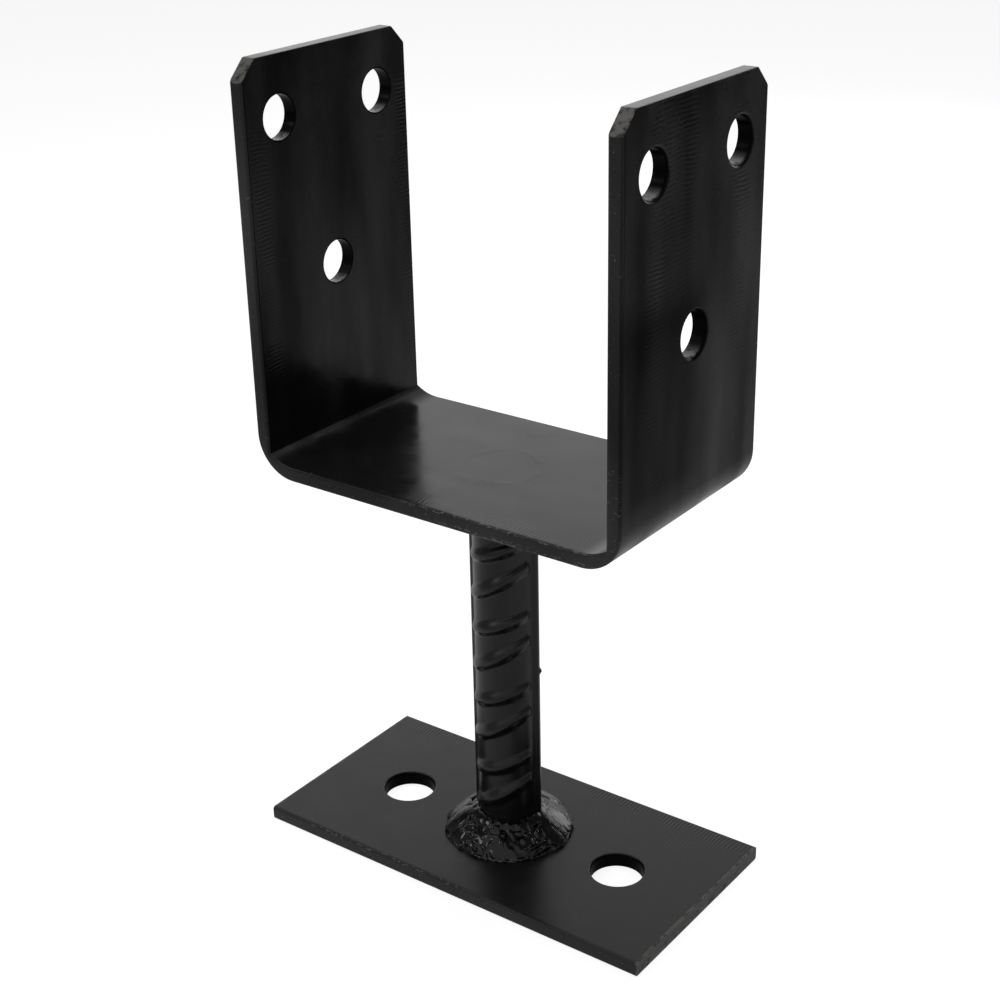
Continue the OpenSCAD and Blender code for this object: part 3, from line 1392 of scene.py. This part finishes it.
@dataclass
class BasePlate:
    """The plate sheared from flat bar, with two anchor holes."""

    stock: BarStock = field(default_factory=BarStock)
    length: float = 120.0
    hole: PunchedHole = field(default_factory=lambda: PunchedHole(radius=7.0))
    hole_gap: float = 70.0
    broken_edge: float = 0.3
    slack: float = 0.001

    def build(self) -> Piece:
        """Models the plate as a run of bar, and cuts its holes.

        Returns:
            The finished mesh object.
        """
        piece = self.stock.section("plate", (-self.length / 2, 0, self.stock.thickness / 2))
        with edit_mode(piece):
            bpy.ops.mesh.select_all(action="SELECT")
            extrude(x=self.length)
        clean(piece)
        ends = self.length / 2 - self.slack
        break_edges(piece, self.broken_edge, lambda a, b: min(abs(a.x), abs(b.x)) > ends)
        places = [Matrix.Translation((side.value * self.hole_gap / 2 * MM, 0, 0)) for side in Side]
        cut_holes(piece, self.hole, places)
        even_shading(piece)
        return piece


@dataclass
class RibbedBar:
    """The short ribbed bar that carries the U, with drops of weld spatter: their X, Y, Z and radius."""

    grain_mm: float = 0.32
    smooth_rounds: int = 10
    spatter: tuple[tuple[float, ...], ...] = ((8.6, 2.9, 54.0, 0.8), (2.1, -8.0, 17.5, 0.7))

    def build(self) -> Piece:
        """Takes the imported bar, rounds its ribs as the rolls leave them, and adds drops of weld spatter.

        Returns:
            The finished mesh object.
        """
        parts = [cad_copy("stem", "ribbed_bar")]
        for x, y, z, radius in self.spatter:
            bpy.ops.object.select_all(action="DESELECT")
            place = (x * MM, y * MM, z * MM)
            bpy.ops.mesh.primitive_ico_sphere_add(subdivisions=3, radius=radius * MM, location=place)
            settle(bpy.context.object)
            parts.append(bpy.context.object)
        piece = join(parts, "ribbed_bar")
        fuse(piece, self.grain_mm, self.smooth_rounds)
        return piece


@dataclass(frozen=True)
class Lump:
    """One lump of metal that stands out of the face of a bead.

    Angles are in degrees. The azimuth runs from +X towards +Y, rise is the share of the way from the
    toe to the bar, and turn swings the lump's length from across the bead to along it.
    """

    azimuth: float
    rise: float
    across: float
    along: float
    height: float
    turn: float = 0.0


@dataclass(frozen=True)
class WeldRun:
    """A stretch of bead that was laid in one go, and how its metal set.

    A lobe and a crescent each take up about their span in degrees, and a rough stretch has its count
    of lumps for each degree.
    """

    style: RunStyle
    start: float
    end: float
    lobe_span: float = 26.0
    crescent_span: float = 11.0
    rough_count: float = 0.42
    # The share of a turn by which the heights of rough lumps step, so that neighbours stand apart.
    rough_step: float = 0.382

    def lumps(self, draw: random.Random) -> list[Lump]:
        """Gives the lumps of the stretch.

        Args:
            draw: The source of the chance differences between lumps.

        Returns:
            The lumps, in the order in which they were laid.
        """
        if self.style is RunStyle.LOBES:
            return self.lobes(draw)
        if self.style is RunStyle.CRESCENTS:
            return self.crescents(draw)
        return self.rough(draw)

    def lobes(self, draw: random.Random) -> list[Lump]:
        """Gives large smooth lobes, from a torch held still and moved in jumps.

        Args:
            draw: The source of the chance differences.

        Returns:
            The lobes.
        """
        count = max(1, round((self.end - self.start) / self.lobe_span))
        step = (self.end - self.start) / count
        return [
            Lump(
                self.start + step * (k + 0.5),
                draw.uniform(0.34, 0.46),
                draw.uniform(4.4, 5.2),
                draw.uniform(3.4, 4.4),
                draw.uniform(0.8, 1.1),
                draw.uniform(-25, 25),
            )
            for k in range(count)
        ]

    def crescents(self, draw: random.Random) -> list[Lump]:
        """Gives low ripples side by side, from a torch moved steadily.

        Args:
            draw: The source of the chance differences.

        Returns:
            The crescents.
        """
        count = max(1, round((self.end - self.start) / self.crescent_span))
        step = (self.end - self.start) / count
        return [
            Lump(self.start + step * (k + 0.5), draw.uniform(0.4, 0.5), 4.8, 2.9, draw.uniform(0.5, 0.6))
            for k in range(count)
        ]

    def rough(self, draw: random.Random) -> list[Lump]:
        """Gives uneven lumps and short ridges, from a torch that sputtered.

        Args:
            draw: The source of the chance differences.

        Returns:
            The lumps.
        """
        count = round((self.end - self.start) * self.rough_count)
        return [
            Lump(
                self.start + (self.end - self.start) * (k + draw.random()) / count,
                ((k * self.rough_step) % 1) * 0.8 + draw.uniform(0.05, 0.15),
                draw.uniform(0.7, 1.9),
                draw.uniform(0.4, 0.9),
                draw.uniform(0.36, 0.55),
                draw.uniform(-80, 80),
            )
            for k in range(count)
        ]


@dataclass
class WeldBead:
    """A fillet weld that runs round the foot or the head of the ribbed bar.

    The bulges say how far the face between toe and bar stands out and up beyond a straight slope.
    """

    node: str
    name: str
    root_height: float
    toe_radius: float
    height: float
    bar_radius: float = 8.0
    hangs: bool = False
    seed: int = 5
    runs: tuple[WeldRun, ...] = ()
    lumps: tuple[Lump, ...] = ()
    collar_count: int = 20
    bulge_out: float = 2.8
    bulge_up: float = 2.2
    sink: float = 0.8
    grain_mm: float = 0.2
    smooth_rounds: int = 6
    crust_mm: float = 1.3
    crust_depth: float = 0.1

    def build(self) -> Piece:
        """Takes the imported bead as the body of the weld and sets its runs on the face.

        Returns:
            The finished mesh object.
        """
        draw = random.Random(self.seed)
        laid = [lump for run in self.runs for lump in run.lumps(draw)]
        bpy.ops.object.select_all(action="DESELECT")
        bpy.ops.mesh.primitive_ico_sphere_add(subdivisions=3, radius=1.0)
        master = bpy.context.object
        parts = [cad_copy(self.node, self.name)]
        self.deepen(parts[0])
        for number, lump in enumerate([*laid, *self.lumps, *self.collar()]):
            parts.append(twin(master, f"{self.name}_lump_{number}", self.lump_place(lump)))
        bpy.data.objects.remove(master)
        piece = join(parts, self.name)
        fuse(piece, self.grain_mm, self.smooth_rounds)
        crust = bpy.data.textures.new(f"{self.name}_crust", "CLOUDS")
        crust.noise_scale = self.crust_mm * MM
        crust.noise_depth = 2
        finish_modifier(piece, "DISPLACE", texture=crust, strength=self.crust_depth * MM, mid_level=0.5)
        cut_off(piece, (0, 0, self.root_height), (0, 0, 1 if self.hangs else -1))
        return keep_largest(piece)

    def deepen(self, piece: Piece) -> None:
        """Sinks the bead's foot, so that the last cut runs through its walls and not along its face.

        Args:
            piece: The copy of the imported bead.
        """
        sink = self.sink if self.hangs else -self.sink
        with edit_mode(piece, "VERT"):
            select_verts(piece, lambda place: abs(place.z - self.root_height) < 0.01)
            bpy.ops.transform.translate(value=(0, 0, sink * MM))

    def collar(self) -> list[Lump]:
        """Gives the lumps that join the bead to the bar all round."""
        step = 360 / self.collar_count
        return [Lump(step * k, 0.9, 2.0, 2.2, 0.8) for k in range(self.collar_count)]

    def lump_place(self, lump: Lump) -> Matrix:
        """Gives the transform that sets a ball of radius 1 on the face as a lump.

        Args:
            lump: The lump.

        Returns:
            The transform, in metres.
        """
        reach = self.toe_radius - self.bar_radius
        out = self.bar_radius + reach * (1 - lump.rise) + self.bulge_out * lump.rise * (1 - lump.rise)
        up = self.height * lump.rise + self.bulge_up * lump.rise * (1 - lump.rise)
        slope = math.atan2(self.height, reach)
        size = Matrix.Diagonal((lump.across * MM, lump.along * MM, lump.height * MM, 1.0))
        on_face = (
            Matrix.Rotation(math.radians(lump.azimuth), 4, "Z")
            @ Matrix.Translation((out * MM, 0, up * MM))
            @ Matrix.Rotation(slope, 4, "Y")
            @ Matrix.Rotation(math.radians(lump.turn), 4, "Z")
            @ size
        )
        return self.standing() @ on_face

    def standing(self) -> Matrix:
        """Gives the transform from a bead that stands on the origin to this one's place."""
        lift = Matrix.Translation((0, 0, self.root_height * MM))
        return lift @ Matrix.Rotation(math.pi, 4, "X") if self.hangs else lift


def lower_bead() -> WeldBead:
    """Gives the weld at the foot of the bar, as the photograph shows it.

    Returns:
        The bead with its runs and its largest lumps.
    """
    return WeldBead(
        "lower_weld",
        "lower_bead",
        root_height=4.0,
        toe_radius=17.0,
        height=6.8,
        runs=(
            WeldRun(RunStyle.LOBES, 60, 235),
            WeldRun(RunStyle.ROUGH, 232, 358),
            WeldRun(RunStyle.CRESCENTS, -4, 60),
        ),
        lumps=(
            Lump(278, 0.86, 1.1, 0.9, 0.9),
            Lump(287, 0.8, 0.9, 1.2, 1.0, 30),
            Lump(294, 0.88, 1.3, 0.8, 0.9, -20),
            Lump(322, 0.84, 1.0, 1.1, 0.9, 40),
            Lump(298, 0.45, 1.7, 0.5, 0.8, 15),
            Lump(303, 0.4, 1.9, 0.5, 0.75, 25),
            Lump(336, 0.3, 0.55, 3.0, 0.9, 10),
            Lump(338, 0.14, 0.5, 3.2, 0.8, 8),
            Lump(255, 0.42, 0.6, 1.3, 0.7, -10),
            Lump(244, 0.4, 0.6, 1.2, 0.7, 10),
            Lump(300, 0.03, 0.5, 2.6, 0.6),
            Lump(275, 0.04, 0.5, 2.2, 0.6),
            Lump(318, 0.05, 0.5, 2.4, 0.6),
        ),
    )


def upper_bead() -> WeldBead:
    """Gives the smaller weld at the head of the bar, which the floor of the U hides in the photograph.

    Returns:
        The bead with its runs.
    """
    return WeldBead(
        "upper_weld",
        "upper_bead",
        root_height=107.0,
        toe_radius=13.5,
        height=4.8,
        hangs=True,
        runs=(WeldRun(RunStyle.CRESCENTS, 0, 210), WeldRun(RunStyle.LOBES, 210, 360)),
    )


@dataclass(frozen=True)
class Screen:
    """A soft round screen far off, as gloss sees it.

    The way points to its middle, and the angles in degrees say how far from there it keeps its full
    glow and where it ends.
    """

    way: Triple
    full: float
    end: float
    glow: float

    def seen(self, tree: Tree, way: Socket) -> Socket:
        """Adds the nodes that give the screen's glow in a direction.

        Args:
            tree: The surround's node tree.
            way: The direction.

        Returns:
            The glow.
        """
        middle = Vector(self.way).normalized()
        nearness = add_node(
            tree, "ShaderNodeVectorMath", {0: way, 1: middle}, operation="DOT_PRODUCT"
        ).outputs["Value"]
        return add_node(
            tree,
            "ShaderNodeMapRange",
            {
                "Value": nearness,
                "From Min": math.cos(math.radians(self.end)),
                "From Max": math.cos(math.radians(self.full)),
                "To Min": 0.0,
                "To Max": self.glow,
            },
            interpolation_type="SMOOTHSTEP",
        ).outputs[0]


@dataclass(frozen=True)
class Pool:
    """A round pool of light on the floor that only the object's gloss sees, with its place in millimetres."""

    centre: tuple[float, float]
    radius: float
    glow: float
    fall: str = "SPHERICAL"

    def seen(self, tree: Tree) -> Socket:
        """Adds the nodes for the pool.

        Args:
            tree: The floor's node tree.

        Returns:
            A socket that is the glow at the middle and 0 at the rim.
        """
        spread = 1 / (self.radius * MM)
        place = add_node(
            tree,
            "ShaderNodeMapping",
            {
                "Vector": add_node(tree, "ShaderNodeTexCoord").outputs["Object"],
                "Location": [-c * MM * spread for c in (*self.centre, 0.0)],
                "Scale": (spread, spread, 1.0),
            },
        ).outputs[0]
        patch = add_node(tree, "ShaderNodeTexGradient", {"Vector": place}, gradient_type=self.fall)
        return product(tree, patch.outputs["Fac"], self.glow)


@dataclass(frozen=True)
class Softbox:
    """A square softbox: where it hangs, the point it faces and its side in millimetres, and its watts."""

    name: str
    place: Triple
    target: Triple
    side: float
    watts: float

    def hang(self) -> None:
        """Hangs the softbox and aims it, unseen by the camera."""
        data = bpy.data.lights.new(self.name, "AREA")
        data.size = self.side * MM
        data.energy = self.watts
        lamp = bpy.data.objects.new(self.name, data)
        bpy.context.scene.collection.objects.link(lamp)
        lamp.location = Vector(self.place) * MM
        lamp.rotation_euler = (Vector(self.place) - Vector(self.target)).to_track_quat("Z", "Y").to_euler()
        lamp.visible_camera = False


@dataclass
class Studio:
    """A pale floor, a white surround and soft lamps.

    The floor lies a hair below the plate, so that their faces don't share a plane.
    """

    floor_size: float = 6000.0
    floor_colour: str = "#d8d8d8"
    light_colour: str = "#ffffff"
    floor_glow: float = 0.88
    floor_drop: float = 0.1
    pools: tuple[Pool, ...] = (
        Pool((-60.0, -60.0), 1000.0, 0.47, "QUADRATIC_SPHERE"),
        Pool((600.0, -150.0), 520.0, 1.0),
        Pool((-650.0, 0.0), 520.0, 1.0),
        Pool((-500.0, -480.0), 330.0, 0.6),
        Pool((0.0, -880.0), 480.0, 0.7),
    )
    fill: float = 0.05
    dim_glow: float = 0.1
    screens: tuple[Screen, ...] = (
        Screen((-0.62, 0.76, 0.17), 14.0, 46.0, 1.0),
        Screen((0.2, -0.8, 0.5), 25.0, 68.0, 0.65),
        Screen((-0.75, -0.65, 0.1), 12.0, 48.0, 0.3),
        Screen((1.0, -0.1, 0.12), 10.0, 48.0, 0.3),
    )
    lamps: tuple[Softbox, ...] = (
        Softbox("overhead_softbox", (-150, 150, 900), (0, 0, 60), 900, 2.0),
        Softbox("back_softbox", (110, 860, 290), (0, 0, 40), 380, 1.1),
        Softbox("front_softbox", (-450, -500, 610), (0, 0, 40), 200, 0.6),
    )

    def build(self) -> None:
        """Makes the floor, the surround and the lamps."""
        self.lay_floor()
        self.surround()
        for lamp in self.lamps:
            lamp.hang()

    def light_path(self, tree: Tree) -> tuple[Socket, Socket]:
        """Adds the nodes that tell the rays which see the background: camera, gloss and glass.

        Args:
            tree: The node tree of the floor or the surround.

        Returns:
            A socket that is 1 for the camera's rays, and one that is 1 for gloss and glass.
        """
        path = add_node(tree, "ShaderNodeLightPath").outputs
        shown = add_node(
            tree,
            "ShaderNodeMath",
            {0: path["Is Glossy Ray"], 1: path["Is Transmission Ray"]},
            operation="MAXIMUM",
        ).outputs[0]
        return path["Is Camera Ray"], shown

    def lay_floor(self) -> None:
        """Lays the floor: white to the camera, still taking the shadow, and in pools to the gloss."""
        bpy.ops.object.select_all(action="DESELECT")
        bpy.ops.mesh.primitive_plane_add(size=self.floor_size * MM, location=(0, 0, -self.floor_drop * MM))
        floor = bpy.context.object
        floor.name = "floor"
        settle(floor)
        # Plain paper scatters light evenly, so it looks flat white and has no gloss of its own.
        material = bpy.data.materials.new("matt_white_paper_sheet")
        tree = empty_tree(material)
        to_camera, shown = self.light_path(tree)
        pooled = total(tree, *(pool.seen(tree) for pool in self.pools))
        in_gloss = product(tree, shown, add_node(tree, "ShaderNodeClamp", {0: pooled}).outputs[0])
        glow = add_node(
            tree, "ShaderNodeMath", {0: to_camera, 1: self.floor_glow, 2: in_gloss}, operation="MULTIPLY_ADD"
        ).outputs[0]
        paper = add_node(tree, "ShaderNodeBsdfDiffuse", {"Color": hex_linear(self.floor_colour)})
        white = hex_linear(self.light_colour)
        light = add_node(tree, "ShaderNodeEmission", {"Color": white, "Strength": glow})
        both = add_node(tree, "ShaderNodeAddShader", {0: paper.outputs[0], 1: light.outputs[0]})
        add_node(tree, "ShaderNodeOutputMaterial", {"Surface": both.outputs[0]})
        floor.data.materials.append(material)

    def surround(self) -> None:
        """Makes the world white to the camera; gloss sees soft screens in a dim room."""
        world = bpy.data.worlds.new("white_surround")
        tree = empty_tree(world)
        to_camera, shown = self.light_path(tree)
        way = add_node(tree, "ShaderNodeTexCoord").outputs["Generated"]
        dome = self.dim_glow
        for screen in self.screens:
            glow = screen.seen(tree, way)
            dome = add_node(tree, "ShaderNodeMath", {0: dome, 1: glow}, operation="MAXIMUM").outputs[0]
        strength = product(tree, shown, dome)
        for least in (to_camera, self.fill):
            ends = {0: least, 1: strength}
            strength = add_node(tree, "ShaderNodeMath", ends, operation="MAXIMUM").outputs[0]
        white = hex_linear(self.light_colour)
        light = add_node(tree, "ShaderNodeBackground", {"Color": white, "Strength": strength})
        add_node(tree, "ShaderNodeOutputWorld", {"Surface": light.outputs[0]})
        bpy.context.scene.world = world


@dataclass(frozen=True)
class PhotoCamera:
    """The camera at the photograph's viewing angle, for a square frame."""

    place: Triple = (249.36, -333.95, 289.34)
    turn: Triple = (65.7736, 1.1454, 36.321)
    lens: float = 65.39
    sensor: float = 36.0

    def build(self) -> None:
        """Makes the camera and gives it to the scene."""
        data = bpy.data.cameras.new("photo_camera")
        data.lens = self.lens
        data.sensor_width = self.sensor
        camera = bpy.data.objects.new("photo_camera", data)
        bpy.context.scene.collection.objects.link(camera)
        camera.location = Vector(self.place) * MM
        camera.rotation_euler = Euler([math.radians(angle) for angle in self.turn])
        bpy.context.scene.camera = camera


def main() -> None:
    """Builds the pieces in order, then the studio and the camera."""
    logging.basicConfig(level=logging.INFO, format="%(name)s: %(message)s")
    bracket_coat = FlatBarEnamel(
        "black_enamel_on_bent_flat_bar",
        roughness=0.2,
        bands=BRACKET_BANDS,
        chips=BRACKET_CHIPS,
        matt=BRACKET_MATT,
        bores=BRACKET_BORES,
        gloss_spread=0.25,
    )
    plate_coat = FlatBarEnamel(
        "black_enamel_on_flat_bar_plate",
        roughness=0.3,
        bands=PLATE_BANDS,
        chips=PLATE_CHIPS,
        bores=PLATE_BORES,
        streak_dullness=0.05,
        gloss_spread=0.04,
    )
    ribbed_bar = BlackEnamel("black_enamel_on_ribbed_bar", roughness=0.3)
    weld = WeldEnamel("glossy_black_enamel_on_weld_bead", roughness=0.15, roughness_spread=0.04)
    hand_over(UBracket().build(), "u_bracket", bracket_coat.material())
    hand_over(BasePlate().build(), "base_plate", plate_coat.material())
    hand_over(RibbedBar().build(), "stem", ribbed_bar.material())
    for bead in (lower_bead(), upper_bead()):
        hand_over(bead.build(), bead.node, weld.material())
    Studio().build()
    PhotoCamera().build()
    bpy.context.scene.view_settings.view_transform = "Standard"


if __name__ == "__main__":
    main()
